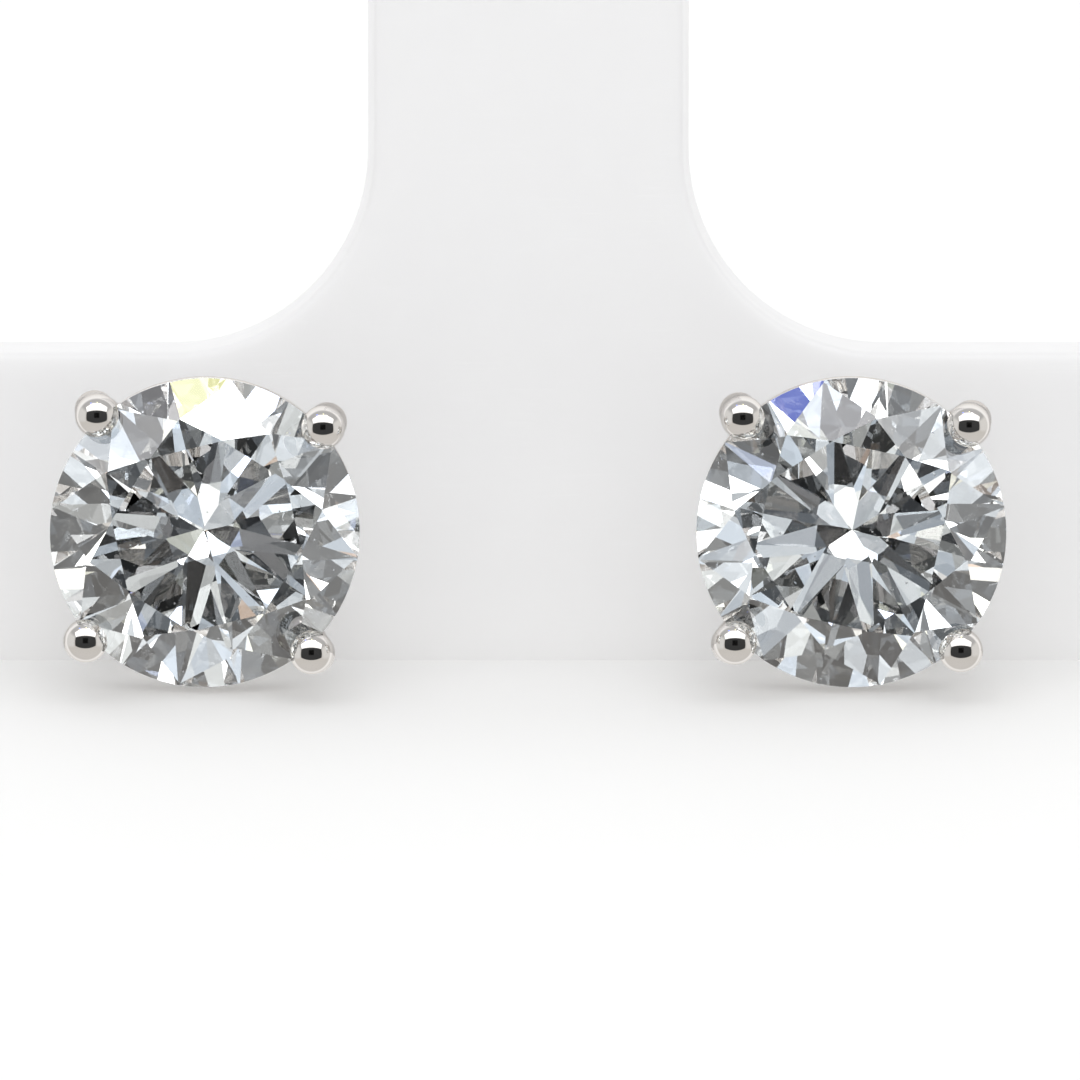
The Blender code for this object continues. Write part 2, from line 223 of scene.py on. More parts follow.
def plate_ring(inset, depth, lift):
    """One loop around the inverted T, drawn in from its outline."""
    half = BAR_LENGTH / 2
    neck = NECK_WIDTH / 2
    low = PLATE_BOTTOM + BAR_CORNER
    right = arc((half - BAR_CORNER, low), BAR_CORNER - inset, -90, 0, 10)
    drop = inset - lift
    right = [(x, y - drop * max(0.0, (low - y) / BAR_CORNER)) for x, y in right]
    right += arc((half - BAR_CORNER, BAR_TOP - BAR_CORNER), BAR_CORNER - inset, 0, 90, 12)
    right += arc((neck + FILLET, BAR_TOP + FILLET), FILLET + inset, 270, 180, 32)
    right += arc((neck - NECK_CORNER, NECK_TOP - NECK_CORNER), NECK_CORNER - inset, 0, 90, 14)
    left = [(-x, y) for x, y in reversed(right)]
    return [(x, y, depth) for x, y in right + left]


def plate_mesh():
    shape = bmesh.new()
    rings = [[shape.verts.new(p) for p in plate_ring(*ring)] for ring in EDGE_RINGS]
    for back, front in zip(rings, rings[1:]):
        for i in range(len(back)):
            j = (i + 1) % len(back)
            shape.faces.new((back[i], back[j], front[j], front[i]))
    shape.faces.new(rings[-1])
    shape.faces.new(list(reversed(rings[0])))
    bmesh.ops.recalc_face_normals(shape, faces=shape.faces)
    bmesh.ops.transform(shape, matrix=plate_place(), verts=shape.verts)
    mesh = bpy.data.meshes.new("display_stand")
    shape.to_mesh(mesh)
    shape.free()
    return mesh


def strut_mesh():
    """The rear strut: its side outline given a width and rounded edges."""
    lean = math.radians(LEAN)
    inside = PLATE_THICK / 2
    back = STRUT_TOP * math.sin(lean) + inside * math.cos(lean)
    high = STRUT_TOP * math.cos(lean) - inside * math.sin(lean)
    heel = arc((STRUT_REACH - STRUT_HEEL, STRUT_HEEL), STRUT_HEEL, 0, 55, 10)
    outline = [(inside / math.cos(lean), -1.0), (STRUT_REACH, -1.0)] + heel
    outline += [(back + inside / 2, high), (back, high)]
    curve = bpy.data.curves.new("strut", "CURVE")
    curve.dimensions = "2D"
    curve.fill_mode = "BOTH"
    curve.extrude = STRUT_WIDTH / 2 - STRUT_ROUND
    curve.bevel_depth = STRUT_ROUND
    curve.bevel_resolution = 5
    curve.offset = -STRUT_ROUND
    spline = curve.splines.new("POLY")
    spline.points.add(len(outline) - 1)
    for point, (x, y) in zip(spline.points, outline):
        point.co = (x, y, 0.0, 1.0)
    spline.use_cyclic_u = True
    made = new_object("strut", curve)
    graph = bpy.context.evaluated_depsgraph_get()
    mesh = bpy.data.meshes.new_from_object(made.evaluated_get(graph))
    bpy.data.objects.remove(made, do_unlink=True)
    sideways = Matrix(((0, 0, 1, 0), (1, 0, 0, 0), (0, 1, 0, 0), (0, 0, 0, 1)))
    mesh.transform(Matrix.Translation((0, -REST_CENTRE * MM, 0)) @ sideways @ Matrix.Scale(MM, 4))
    tidy(mesh)
    return mesh


def drill(across):
    """A cutter for one post hole, through the plate."""
    shape = bmesh.new()
    bmesh.ops.create_cone(
        shape, cap_ends=True, segments=48, radius1=HOLE_DIAMETER / 2,
        radius2=HOLE_DIAMETER / 2, depth=3 * PLATE_THICK,
    )
    spot = Matrix.Translation((across, HOLE_HEIGHT, -PLATE_THICK / 2))
    bmesh.ops.transform(shape, matrix=plate_place() @ spot, verts=shape.verts)
    mesh = bpy.data.meshes.new("drill")
    shape.to_mesh(mesh)
    shape.free()
    return new_object("drill", mesh)


def cut_at_floor(mesh):
    shape = bmesh.new()
    shape.from_mesh(mesh)
    everything = shape.verts[:] + shape.edges[:] + shape.faces[:]
    cut = bmesh.ops.bisect_plane(
        shape, geom=everything, dist=1e-8, plane_co=(0, 0, 0), plane_no=(0, 0, -1),
        clear_outer=True,
    )
    rim = [part for part in cut["geom_cut"] if isinstance(part, bmesh.types.BMEdge)]
    bmesh.ops.holes_fill(shape, edges=[edge for edge in rim if edge.is_boundary])
    bmesh.ops.recalc_face_normals(shape, faces=shape.faces)
    shape.to_mesh(mesh)
    shape.free()


def make_stand(finish):
    stand = new_object("display_stand", plate_mesh())
    combine(stand, new_object("strut", strut_mesh()), "UNION")
    for across in [stud[1] for stud in STUDS]:
        combine(stand, drill(across), "DIFFERENCE")
    cut_at_floor(stand.data)
    stand.data.materials.clear()
    stand.data.materials.append(finish)
    smooth(stand.data, 32)
    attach(stand, "root")
    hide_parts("stand")


# ----------------------------------------------------------------------- the stones

def facet_planes(draw, wobble):
    """Every facet as a point on it and its outward normal, each a little off its mark.

    The zero is the girdle's middle, the table looks along +Z and the first kite is on
    +X. The hand of the cutter is the small random lean of each plane.
    """
    radius = STONE_DIAMETER / 2
    edge = GIRDLE_THICK / 2
    eighth = math.radians(45.0)
    near = math.cos(eighth / 4)
    middle = math.cos(eighth / 2)
    crown = math.radians(CROWN_ANGLE)
    pavilion = math.radians(PAVILION_ANGLE)
    crown_high = (radius - TABLE_WIDTH / 2) * math.tan(crown)
    table_edge = TABLE_WIDTH / 2 * middle
    side = table_edge + STAR_SHARE * (radius - table_edge)
    side_high = (radius - side * middle) * math.tan(crown)
    star = math.atan2(crown_high - side_high, side - table_edge)
    upper = math.atan2(side_high, (radius - side) * near)
    tip = (1 - LOWER_SHARE) * radius
    tip_deep = (radius - tip * middle) * math.tan(pavilion)
    lower = math.atan2(tip_deep, (radius - tip) * near)
    planes = [(Vector((0, 0, edge + crown_high)), Vector((0, 0, 1)))]

    def add(turn, tilt, reach, height, up, share):
        turn += math.radians(draw.uniform(-wobble, wobble) * 1.6)
        tilt += math.radians(draw.uniform(-wobble, wobble) * share)
        out = Vector((math.cos(turn), math.sin(turn), 0))
        normal = out * math.sin(tilt) + Vector((0, 0, up * math.cos(tilt)))
        planes.append((out * reach + Vector((0, 0, height)), normal))

    for i in range(8):
        turn = i * eighth
        add(turn, crown, radius, edge, 1, 0.6)
        add(turn, pavilion, radius, -edge, -1, 0.3)
        add(turn + eighth / 2, star, table_edge, edge + crown_high, 1, 0.9)
        for half in (eighth / 4, 3 * eighth / 4):
            add(turn + half, upper, radius * near, edge, 1, 0.9)
            add(turn + half, lower, radius * near, -edge, -1, 0.35)
    return planes


def brilliant_mesh(name, seed, wobble, grow, sides):
    """A brilliant cut plane by plane from a short cylinder, in millimetres."""
    radius = STONE_DIAMETER / 2 + grow
    shape = bmesh.new()
    bmesh.ops.create_cone(
        shape, cap_ends=True, segments=sides, radius1=radius, radius2=radius,
        depth=2 * STONE_DIAMETER,
    )
    for point, normal in facet_planes(random.Random(seed), wobble):
        everything = shape.verts[:] + shape.edges[:] + shape.faces[:]
        cut = bmesh.ops.bisect_plane(
            shape, geom=everything, dist=0.0001, plane_co=point + normal * grow,
            plane_no=normal, clear_outer=True,
        )
        rim = [part for part in cut["geom_cut"] if isinstance(part, bmesh.types.BMEdge)]
        rim = [edge for edge in rim if edge.is_boundary]
        if rim:
            bmesh.ops.edgeloop_fill(shape, edges=rim)
    bmesh.ops.recalc_face_normals(shape, faces=shape.faces)
    mesh = bpy.data.meshes.new(name)
    shape.to_mesh(mesh)
    shape.free()
    return mesh


def make_brilliant(side, place, lie, seed, polished, girdle):
    """One stone: polished facets, and a finely ground girdle as its own finish."""
    mesh = brilliant_mesh(side + "_brilliant", seed, STONE_WOBBLE, 0.0, GIRDLE_SIDES)
    mesh.materials.append(polished)
    mesh.materials.append(girdle)
    for face in mesh.polygons:
        face.material_index = int(abs(face.normal.z) < 0.02)
    mesh.transform(place @ lie)
    stone = new_object(side + "_brilliant", mesh)
    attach(stone, "root")
    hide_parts(side + "_stone")


# ------------------------------------------------------- baskets, by Geometry Nodes

def put(tree, kind, inputs=(), **settings):
    """Add a node, give it its settings, then fill its inputs by name or number."""
    made = tree.nodes.new(kind)
    for key, value in settings.items():
        setattr(made, key, value)
    for key, value in dict(inputs).items():
        if isinstance(value, bpy.types.NodeSocket):
            tree.links.new(value, made.inputs[key])
        else:
            made.inputs[key].default_value = value
    return made


def sum_up(tree, operation, first, second=0.0):
    made = put(tree, "ShaderNodeMath", {0: first, 1: second}, operation=operation)
    return made.outputs[0]


def vector_of(tree, x=0.0, y=0.0, z=0.0):
    made = put(tree, "ShaderNodeCombineXYZ", {"X": x, "Y": y, "Z": z})
    return made.outputs[0]


BASKET_SIZES = (
    ("Ball Diameter", BALL_DIAMETER),
    ("Ball Reach", BALL_REACH),
    ("Ball Height", BALL_HEIGHT),
    ("Prong Wire", PRONG_WIRE),
    ("Knee Reach", KNEE_REACH),
    ("Knee Height", KNEE_HEIGHT),
    ("Foot Height", FOOT_HEIGHT),
    ("Rail Wire", RAIL_WIRE),
    ("Upper Rail Radius", UPPER_RAIL_RADIUS),
    ("Upper Rail Height", UPPER_RAIL_HEIGHT),
    ("Lower Rail Radius", LOWER_RAIL_RADIUS),
    ("Bridge Width", BRIDGE_WIDTH),
    ("Bridge Thickness", BRIDGE_THICK),
    ("Post Diameter", POST_DIAMETER),
    ("Post Reach", POST_REACH),
)


def basket_tree(finish):
    """The whole setting in one tree: four prongs and balls, rails, bridges and post."""
    tree = bpy.data.node_groups.new("basket", "GeometryNodeTree")
    tree.interface.new_socket("Geometry", in_out="OUTPUT", socket_type="NodeSocketGeometry")
    for name, size in BASKET_SIZES:
        made = tree.interface.new_socket(name, in_out="INPUT", socket_type="NodeSocketFloat")
        made.default_value = size
    size = put(tree, "NodeGroupInput").outputs

    def swept(curve, wire, sides):
        ring = put(
            tree, "GeometryNodeCurvePrimitiveCircle",
            {"Resolution": sides, "Radius": sum_up(tree, "MULTIPLY", wire, 0.5)},
        )
        tube = put(tree, "GeometryNodeCurveToMesh", {
            "Curve": curve, "Profile Curve": ring.outputs["Curve"], "Fill Caps": True,
        })
        return tube.outputs[0]

    def rail(radius, height):
        hoop = put(tree, "GeometryNodeCurvePrimitiveCircle", {"Resolution": 128, "Radius": radius})
        tube = swept(hoop.outputs["Curve"], size["Rail Wire"], 28)
        lift = vector_of(tree, z=height)
        return put(
            tree, "GeometryNodeTransform", {"Geometry": tube, "Translation": lift}
        ).outputs[0]

    foot = vector_of(tree, size["Lower Rail Radius"], 0.0, size["Foot Height"])
    knee = vector_of(tree, size["Knee Reach"], 0.0, size["Knee Height"])
    tip = vector_of(tree, size["Ball Reach"], 0.0, size["Ball Height"])
    rise = put(tree, "GeometryNodeCurvePrimitiveLine", {"Start": foot, "End": knee})
    bend = put(tree, "GeometryNodeCurvePrimitiveLine", {"Start": knee, "End": tip})
    wires = [
        swept(rise.outputs[0], size["Prong Wire"], 32),
        swept(bend.outputs[0], size["Prong Wire"], 32),
    ]
    half_wire = sum_up(tree, "MULTIPLY", size["Prong Wire"], 0.5)
    elbow = put(tree, "GeometryNodeMeshIcoSphere", {"Radius": half_wire, "Subdivisions": 4})
    elbow = put(
        tree, "GeometryNodeTransform", {"Geometry": elbow.outputs["Mesh"], "Translation": knee}
    )
    half_ball = sum_up(tree, "MULTIPLY", size["Ball Diameter"], 0.5)
    ball = put(tree, "GeometryNodeMeshIcoSphere", {"Radius": half_ball, "Subdivisions": 5})
    ball = put(
        tree, "GeometryNodeTransform", {"Geometry": ball.outputs["Mesh"], "Translation": tip}
    )
    prong = put(tree, "GeometryNodeJoinGeometry")
    for part in (wires[0], wires[1], elbow.outputs[0], ball.outputs[0]):
        tree.links.new(part, prong.inputs[0])

    corners = put(tree, "GeometryNodePoints", {"Count": 4})
    index = put(tree, "GeometryNodeInputIndex").outputs[0]
    quarter = sum_up(tree, "MULTIPLY", index, math.pi / 2)
    spin = vector_of(tree, z=sum_up(tree, "ADD", quarter, math.pi / 4))
    turned = put(tree, "FunctionNodeEulerToRotation", {0: spin})
    four = put(tree, "GeometryNodeInstanceOnPoints", {
        "Points": corners.outputs[0], "Instance": prong.outputs[0],
        "Rotation": turned.outputs[0],
    })

    across = sum_up(tree, "MULTIPLY", size["Lower Rail Radius"], 2.0)
    bar_size = vector_of(tree, across, size["Bridge Width"], size["Bridge Thickness"])
    bar = put(tree, "GeometryNodeMeshCube", {"Size": bar_size})
    bars = []
    for turn in (math.pi / 4, -math.pi / 4):
        bars.append(put(tree, "GeometryNodeTransform", {
            "Geometry": bar.outputs["Mesh"], "Rotation": (0.0, 0.0, turn),
            "Translation": vector_of(tree, z=size["Foot Height"]),
        }).outputs[0])

    end = vector_of(tree, z=sum_up(tree, "MULTIPLY", size["Post Reach"], -1.0))
    start = vector_of(tree, z=size["Foot Height"])
    line = put(tree, "GeometryNodeCurvePrimitiveLine", {"Start": start, "End": end})
    points = put(tree, "GeometryNodeResampleCurve", {"Curve": line.outputs[0], "Count": 60})
    along = put(tree, "GeometryNodeSplineParameter").outputs["Length"]
    length = put(tree, "GeometryNodeSplineLength").outputs["Length"]
    left = sum_up(tree, "SUBTRACT", length, along)
    taper = put(tree, "ShaderNodeMapRange", {
        "Value": left, "From Min": 0.0, "From Max": 0.35, "To Min": 0.35, "To Max": 1.0,
    }, interpolation_type="SMOOTHERSTEP")
    slim = put(tree, "GeometryNodeSetCurveRadius", {
        "Curve": points.outputs[0], "Radius": taper.outputs[0],
    })
    ring = put(tree, "GeometryNodeCurvePrimitiveCircle", {
        "Resolution": 40, "Radius": sum_up(tree, "MULTIPLY", size["Post Diameter"], 0.5),
    })
    post = put(tree, "GeometryNodeCurveToMesh", {
        "Curve": slim.outputs[0], "Profile Curve": ring.outputs["Curve"], "Fill Caps": True,
    })
    if "Scale" in post.inputs:
        radius = put(tree, "GeometryNodeInputRadius").outputs[0]
        tree.links.new(radius, post.inputs["Scale"])

    whole = put(tree, "GeometryNodeJoinGeometry")
    parts = [four.outputs[0], post.outputs[0]] + bars
    parts.append(rail(size["Upper Rail Radius"], size["Upper Rail Height"]))
    parts.append(rail(size["Lower Rail Radius"], size["Foot Height"]))
    for part in parts:
        tree.links.new(part, whole.inputs[0])
    real = put(tree, "GeometryNodeRealizeInstances", {"Geometry": whole.outputs[0]})
    dressed = put(tree, "GeometryNodeSetMaterial", {
        "Geometry": real.outputs[0], "Material": finish,
    })
    put(tree, "NodeGroupOutput", {"Geometry": dressed.outputs[0]})
    return tree


def make_basket(side, place, lie, tree, finish):
    basket = new_object(side + "_basket", bpy.data.meshes.new(side + "_basket"))
    modifier = basket.modifiers.new("basket", "NODES")
    modifier.node_group = tree
    for item in tree.interface.items_tree:
        if item.in_out == "INPUT":
            modifier[item.identifier] = dict(BASKET_SIZES)[item.name]
    applied(basket)
    tidy(basket.data, 1e-5)
    seat = brilliant_mesh("seat", 0, 0.0, SEAT_CLEARANCE, 64)
    seat.transform(lie)
    combine(basket, new_object("seat", seat), "DIFFERENCE", self_crossing=True)
    basket.data.transform(place)
    basket.data.materials.clear()
    basket.data.materials.append(finish)
    smooth(basket.data, 40)
    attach(basket, "root")
    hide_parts(side + "_setting")


# ------------------------------------------------------------------ push-on backs

def make_back(side, place, finish):
    """The push-on back, turned round the post's axis, its bore left open."""
    shape = bmesh.new()
    points = [shape.verts.new((r, 0, BACK_FRONT + z)) for r, z in BACK_OUTLINE]
    edges = [shape.edges.new(pair) for pair in zip(points, points[1:] + points[:1])]
    bmesh.ops.spin(
        shape, geom=points + edges, cent=(0, 0, 0), axis=(0, 0, 1), angle=2 * math.pi,
        steps=96, use_merge=True,
    )
    bmesh.ops.remove_doubles(shape, verts=shape.verts, dist=1e-4)
    bmesh.ops.recalc_face_normals(shape, faces=shape.faces)
    bmesh.ops.transform(shape, matrix=place, verts=shape.verts)
    mesh = bpy.data.meshes.new(side + "_push_back")
    shape.to_mesh(mesh)
    shape.free()
    mesh.materials.append(finish)
    smooth(mesh, 35)
    back = new_object(side + "_push_back", mesh)
    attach(back, "root")
    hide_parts(side + "_back")


# ----------------------------------------------------------------------- finishes

# Painted light: the stand's colour is made paler towards the floor, to lift the shade that
# falls there: up to what height, and how far it goes over to the paler colour at the floor.
PAINTED_LIGHT_HEIGHT = 4.5
PAINTED_LIGHT_SHARE = 0.9

# How much of the soft light a stone holds back, where real glass would be noisy.
STONE_SHADE = 0.03


def new_group(name, inputs, outputs):
    """An empty shader group with named inputs and outputs."""
    tree = bpy.data.node_groups.new(name, "ShaderNodeTree")
    kinds = {"f": "NodeSocketFloat", "c": "NodeSocketColor", "v": "NodeSocketVector"}
    for label, kind, value in inputs:
        made = tree.interface.new_socket(label, in_out="INPUT", socket_type=kinds[kind])
        made.default_value = value
    for label, kind in outputs:
        tree.interface.new_socket(label, in_out="OUTPUT", socket_type=kinds[kind])
    return tree, put(tree, "NodeGroupInput").outputs, put(tree, "NodeGroupOutput").inputs


def noise(tree, vector, scale, detail=2.0, rough=0.5):
    made = put(tree, "ShaderNodeTexNoise", {
        "Vector": vector, "Scale": scale, "Detail": detail, "Roughness": rough,
    })
    return made.outputs["Fac"]


def ramp(tree, value, low, high, start=0.0, end=1.0):
    made = put(tree, "ShaderNodeMapRange", {
        "Value": value, "From Min": low, "From Max": high, "To Min": start, "To Max": end,
    })
    return made.outputs[0]


def hairline_group():
    """Fine rubbing marks along one direction, sparse and uneven."""
    tree, given, out = new_group(
        "hairlines",
        (("Position", "v", (0, 0, 0)), ("Spacing", "f", 0.05), ("Stretch", "f", 0.04),
         ("Amount", "f", 0.5)),
        (("Lines", "f"),),
    )
    squeeze = vector_of(tree, given["Stretch"], 1.0, 1.0)
    drawn = put(tree, "ShaderNodeVectorMath", {0: given["Position"], 1: squeeze},
                operation="MULTIPLY").outputs[0]
    wavy = noise(tree, given["Position"], 0.25, 1.0)
    bent = put(tree, "ShaderNodeVectorMath", {
        0: drawn, 1: vector_of(tree, 0.0, sum_up(tree, "MULTIPLY", wavy, 0.6), 0.0),
    }, operation="ADD").outputs[0]
    often = sum_up(tree, "DIVIDE", 1.0, given["Spacing"])
    fine = ramp(tree, noise(tree, bent, often, 3.0, 0.7), 0.56, 0.75)
    patch = ramp(tree, noise(tree, given["Position"], 0.35, 2.0), 0.42, 0.66)
    lines = sum_up(tree, "MULTIPLY", sum_up(tree, "MULTIPLY", fine, patch), given["Amount"])
    tree.links.new(lines, out["Lines"])
    return tree


def speck_group():
    """Grains of dust that lie on a surface: a mask of tiny uneven dots."""
    tree, given, out = new_group(
        "dust",
        (("Position", "v", (0, 0, 0)), ("Spacing", "f", 0.5), ("Grain", "f", 0.1),
         ("Amount", "f", 0.5)),
        (("Specks", "f"),),
    )
    often = sum_up(tree, "DIVIDE", 1.0, given["Spacing"])
    cells = put(tree, "ShaderNodeTexVoronoi", {
        "Vector": given["Position"], "Scale": often, "Randomness": 1.0,
    })
    pick = put(tree, "ShaderNodeSeparateColor", {0: cells.outputs["Color"]}).outputs
    some = ramp(tree, pick[0], 0.55, 0.60)
    reach = sum_up(tree, "MULTIPLY", given["Grain"], sum_up(tree, "ADD", pick[1], 0.4))
    edge = sum_up(tree, "MULTIPLY", reach, 0.6)
    dot = put(tree, "ShaderNodeMapRange", {
        "Value": cells.outputs["Distance"], "From Min": edge, "From Max": reach,
        "To Min": 1.0, "To Max": 0.0,
    }).outputs[0]
    mask = sum_up(tree, "MULTIPLY", sum_up(tree, "MULTIPLY", dot, some), given["Amount"])
    tree.links.new(mask, out["Specks"])
    return tree


def new_finish(name, metallic, roughness, colour):
    made = bpy.data.materials.new(name)
    made.use_nodes = True
    shader = made.node_tree.nodes["Principled BSDF"]
    shader.inputs["Metallic"].default_value = metallic
    shader.inputs["Roughness"].default_value = roughness
    shader.inputs["Base Color"].default_value = (*colour, 1.0)
    return made, made.node_tree, shader


def millimetres(tree, turn=(0.0, 0.0, 0.0)):
    """The place on the piece, in millimetres, turned for the grain."""
    place = put(tree, "ShaderNodeTexCoord").outputs["Object"]
    made = put(tree, "ShaderNodeMapping", {
        "Vector": place, "Scale": (1000.0, 1000.0, 1000.0), "Rotation": turn,
    })
    return made.outputs[0]


def use_group(tree, group, inputs):
    made = put(tree, "ShaderNodeGroup", node_tree=group)
    for key, value in inputs.items():
        if isinstance(value, bpy.types.NodeSocket):
            tree.links.new(value, made.inputs[key])
        else:
            made.inputs[key].default_value = value
    return made.outputs


def blend_colours(tree, mask, first, second):
    made = put(tree, "ShaderNodeMix", {0: mask, 6: first, 7: second}, data_type="RGBA")
    return made.outputs[2]


def stand_finish(hairlines, dust):
    """Satin moulded white: faint cool mottle, soft orange peel, hairlines, dust, painted light
    near the floor.
    """
    made, tree, shader = new_finish("satin_white_moulding", 0.0, 0.42, (0.82, 0.82, 0.83))
    place = millimetres(tree)
    lines = use_group(tree, hairlines, {"Position": place, "Spacing": 0.09, "Amount": 0.8})
    grains = use_group(tree, dust, {
        "Position": place, "Spacing": 1.3, "Grain": 0.035, "Amount": 0.5,
    })
    mottle = noise(tree, place, 0.18, 3.0)
    base = blend_colours(
        tree, mottle, (0.800, 0.799, 0.806, 1.0), (0.828, 0.826, 0.830, 1.0)
    )
    # Painted light: a paler colour over the lowest millimetres, lifting the shade near the floor.
    high = put(tree, "ShaderNodeSeparateXYZ", {0: place}).outputs[2]
    foot = ramp(tree, high, 0.0, PAINTED_LIGHT_HEIGHT, PAINTED_LIGHT_SHARE, 0.0)
    base = blend_colours(tree, foot, base, (0.865, 0.862, 0.862, 1.0))
    rubbed = blend_colours(
        tree, sum_up(tree, "MULTIPLY", lines["Lines"], 0.35), base, (0.88, 0.88, 0.885, 1.0)
    )
    dusty = blend_colours(tree, grains["Specks"], rubbed, (0.55, 0.54, 0.53, 1.0))
    tree.links.new(dusty, shader.inputs["Base Color"])
    satin = ramp(tree, noise(tree, place, 1.4, 3.0), 0.3, 0.7, 0.36, 0.46)
    worn = sum_up(tree, "ADD", satin, sum_up(tree, "MULTIPLY", lines["Lines"], 0.12))
    tree.links.new(worn, shader.inputs["Roughness"])
    peel = sum_up(tree, "MULTIPLY", noise(tree, place, 2.2, 2.0), 0.6)
    relief = sum_up(tree, "SUBTRACT", peel, sum_up(tree, "MULTIPLY", lines["Lines"], 0.5))
    bump = put(tree, "ShaderNodeBump", {
        "Height": relief, "Strength": 0.12, "Distance": 0.00004,
    })
    tree.links.new(bump.outputs[0], shader.inputs["Normal"])
    shader.inputs["Coat Weight"].default_value = 0.15
    shader.inputs["Coat Roughness"].default_value = 0.25
    return made


def metal_finish(name, hairlines, dust, roughness, marks):
    """Polished white gold: a warm tone, polishing hairlines and a little dust."""
    made, tree, shader = new_finish(name, 1.0, roughness, (0.82, 0.79, 0.76))
    shader.inputs["Specular Tint"].default_value = (0.66, 0.64, 0.62, 1.0)
    place = millimetres(tree, (0.4, 0.9, 0.3))
    lines = use_group(tree, hairlines, {
        "Position": place, "Spacing": 0.02, "Stretch": 0.08, "Amount": marks,
    })
    grains = use_group(tree, dust, {
        "Position": place, "Spacing": 0.35, "Grain": 0.05, "Amount": 0.3,
    })
    tone = noise(tree, place, 1.1, 3.0)
    base = blend_colours(tree, tone, (0.84, 0.815, 0.785, 1.0), (0.80, 0.775, 0.75, 1.0))
    dull = blend_colours(tree, grains["Specks"], base, (0.55, 0.53, 0.52, 1.0))
    tree.links.new(dull, shader.inputs["Base Color"])
    even = ramp(tree, noise(tree, place, 3.0, 3.0), 0.3, 0.7, roughness * 0.7, roughness * 1.3)
    rough = sum_up(tree, "ADD", even, sum_up(tree, "MULTIPLY", lines["Lines"], 0.10))
    rough = sum_up(tree, "ADD", rough, sum_up(tree, "MULTIPLY", grains["Specks"], 0.3))
    tree.links.new(rough, shader.inputs["Roughness"])
    bump = put(tree, "ShaderNodeBump", {
        "Height": sum_up(tree, "MULTIPLY", lines["Lines"], -1.0), "Strength": 0.05,
        "Distance": 0.00001,
    })
    tree.links.new(bump.outputs[0], shader.inputs["Normal"])
    return made


def stone_finish(name, dust, roughness, grain_amount):
    """Colourless polished stone with grains of dust on its facets."""
    made, tree, shader = new_finish(name, 0.0, roughness, (1.0, 1.0, 1.0))
    shader.inputs["Transmission Weight"].default_value = 1.0
    shader.inputs["IOR"].default_value = STONE_REFRACTION
    place = millimetres(tree)
    grains = use_group(tree, dust, {
        "Position": place, "Spacing": 0.33, "Grain": 0.09, "Amount": grain_amount,
    })
    rough = sum_up(tree, "ADD", sum_up(tree, "MULTIPLY", grains["Specks"], 0.5), roughness)
    tree.links.new(rough, shader.inputs["Roughness"])
    path = put(tree, "ShaderNodeLightPath").outputs
    soft = sum_up(tree, "MAXIMUM", path["Is Shadow Ray"], path["Is Diffuse Ray"])
    tree.links.new(ramp(tree, soft, 0.0, 1.0, 1.0, STONE_SHADE), shader.inputs["Alpha"])
    return made


# ------------------------------------------------------------ floor, light, camera

def make_floor():
    """A plain white table, seen by the eye and by soft light alone."""
    shape = bmesh.new()
    bmesh.ops.create_grid(shape, x_segments=2, y_segments=2, size=1.5)
    mesh = bpy.data.meshes.new("floor")
    shape.to_mesh(mesh)
    shape.free()
    made, tree, shader = new_finish("white_table", 0.0, 0.7, (0.9, 0.9, 0.9))
    place = millimetres(tree)
    tone = blend_colours(
        tree, noise(tree, place, 0.02, 3.0), (0.91, 0.91, 0.906, 1.0), (0.925, 0.925, 0.921, 1.0)
    )
    tree.links.new(tone, shader.inputs["Base Color"])
    shader.inputs["Specular IOR Level"].default_value = 0.1
    mesh.materials.append(made)
    floor = new_object("floor", mesh)
    floor.visible_glossy = False
    floor.visible_transmission = False


# The tent as the metal and the stones see it: azimuth from the camera and height of each
# panel's middle, half width and half height, all in degrees, then softness, colour, and
# strength in a reflection and inside a stone.
PANELS = (
    ("right side", 88.0, 2.0, 26.0, 24.0, 0.12, (1.0, 0.99, 0.97), 0.8, 1.9),
    ("left side", -88.0, 2.0, 26.0, 24.0, 0.12, (0.99, 0.99, 0.98), 0.8, 1.9),
    ("softbox", 0.0, 57.0, 52.0, 20.0, 0.05, (1.0, 1.0, 1.0), 1.6, 1.6),
    ("softbox heart", -8.0, 66.0, 26.0, 9.0, 0.16, (0.95, 0.95, 1.0), 2.4, 1.8),
    ("lamp", 39.3, 68.2, 5.0, 5.0, 0.05, (1.0, 1.0, 1.0), 7.5, 3.0),
    ("open front", 0.0, 4.5, 57.0, 34.0, 0.04, (0.96, 0.98, 1.0), 0.05, 0.40),
    ("lens", 0.0, 12.25, 14.0, 14.0, 0.05, (1.0, 1.0, 1.0), 0.004, 0.2),
    ("yellow glint", 21.0, 85.0, 1.6, 1.6, 0.01, (1.0, 1.0, 0.55), 4.5, 1.0),
    ("blue glint", -85.1, 64.6, 2.2, 2.2, 0.01, (0.20, 0.28, 1.0), 2.8, 1.0),
)

# Cards that only the stones see, which break them up into a mosaic: how bright and how
# tinted they are, as shares of them all, and the most of each.
CARD_SIZE = 0.17
CARD_BRIGHTEST = 2.5
CARD_TINT_MOST = 1.5
CARD_BRIGHTNESS = (
    (0.0, 0.03), (0.20, 0.09), (0.35, 0.32), (0.47, 0.85), (0.60, 1.5), (0.78, 2.2), (1.0, 2.5),
)
CARD_TINTS = (
    (0.0, (0.88, 0.97, 1.06)), (0.25, (0.95, 1.0, 1.03)), (0.60, (0.99, 1.01, 0.98)),
    (0.92, (1.0, 1.03, 0.90)), (0.985, (0.78, 0.88, 1.12)), (0.994, (1.15, 0.9, 0.72)),
)

# What lights the matt things, set apart from what is mirrored: strength, azimuth, height,
# half width, half height and softness of the softbox, the front and the back light.
SOFT_PANELS = (
    (1.72, 0.0, 49.0, 50.0, 20.0, 0.1),
    (1.10, 0.0, 4.0, 50.0, 32.0, 0.1),
    (1.38, 180.0, 37.0, 60.0, 26.0, 0.3),
)


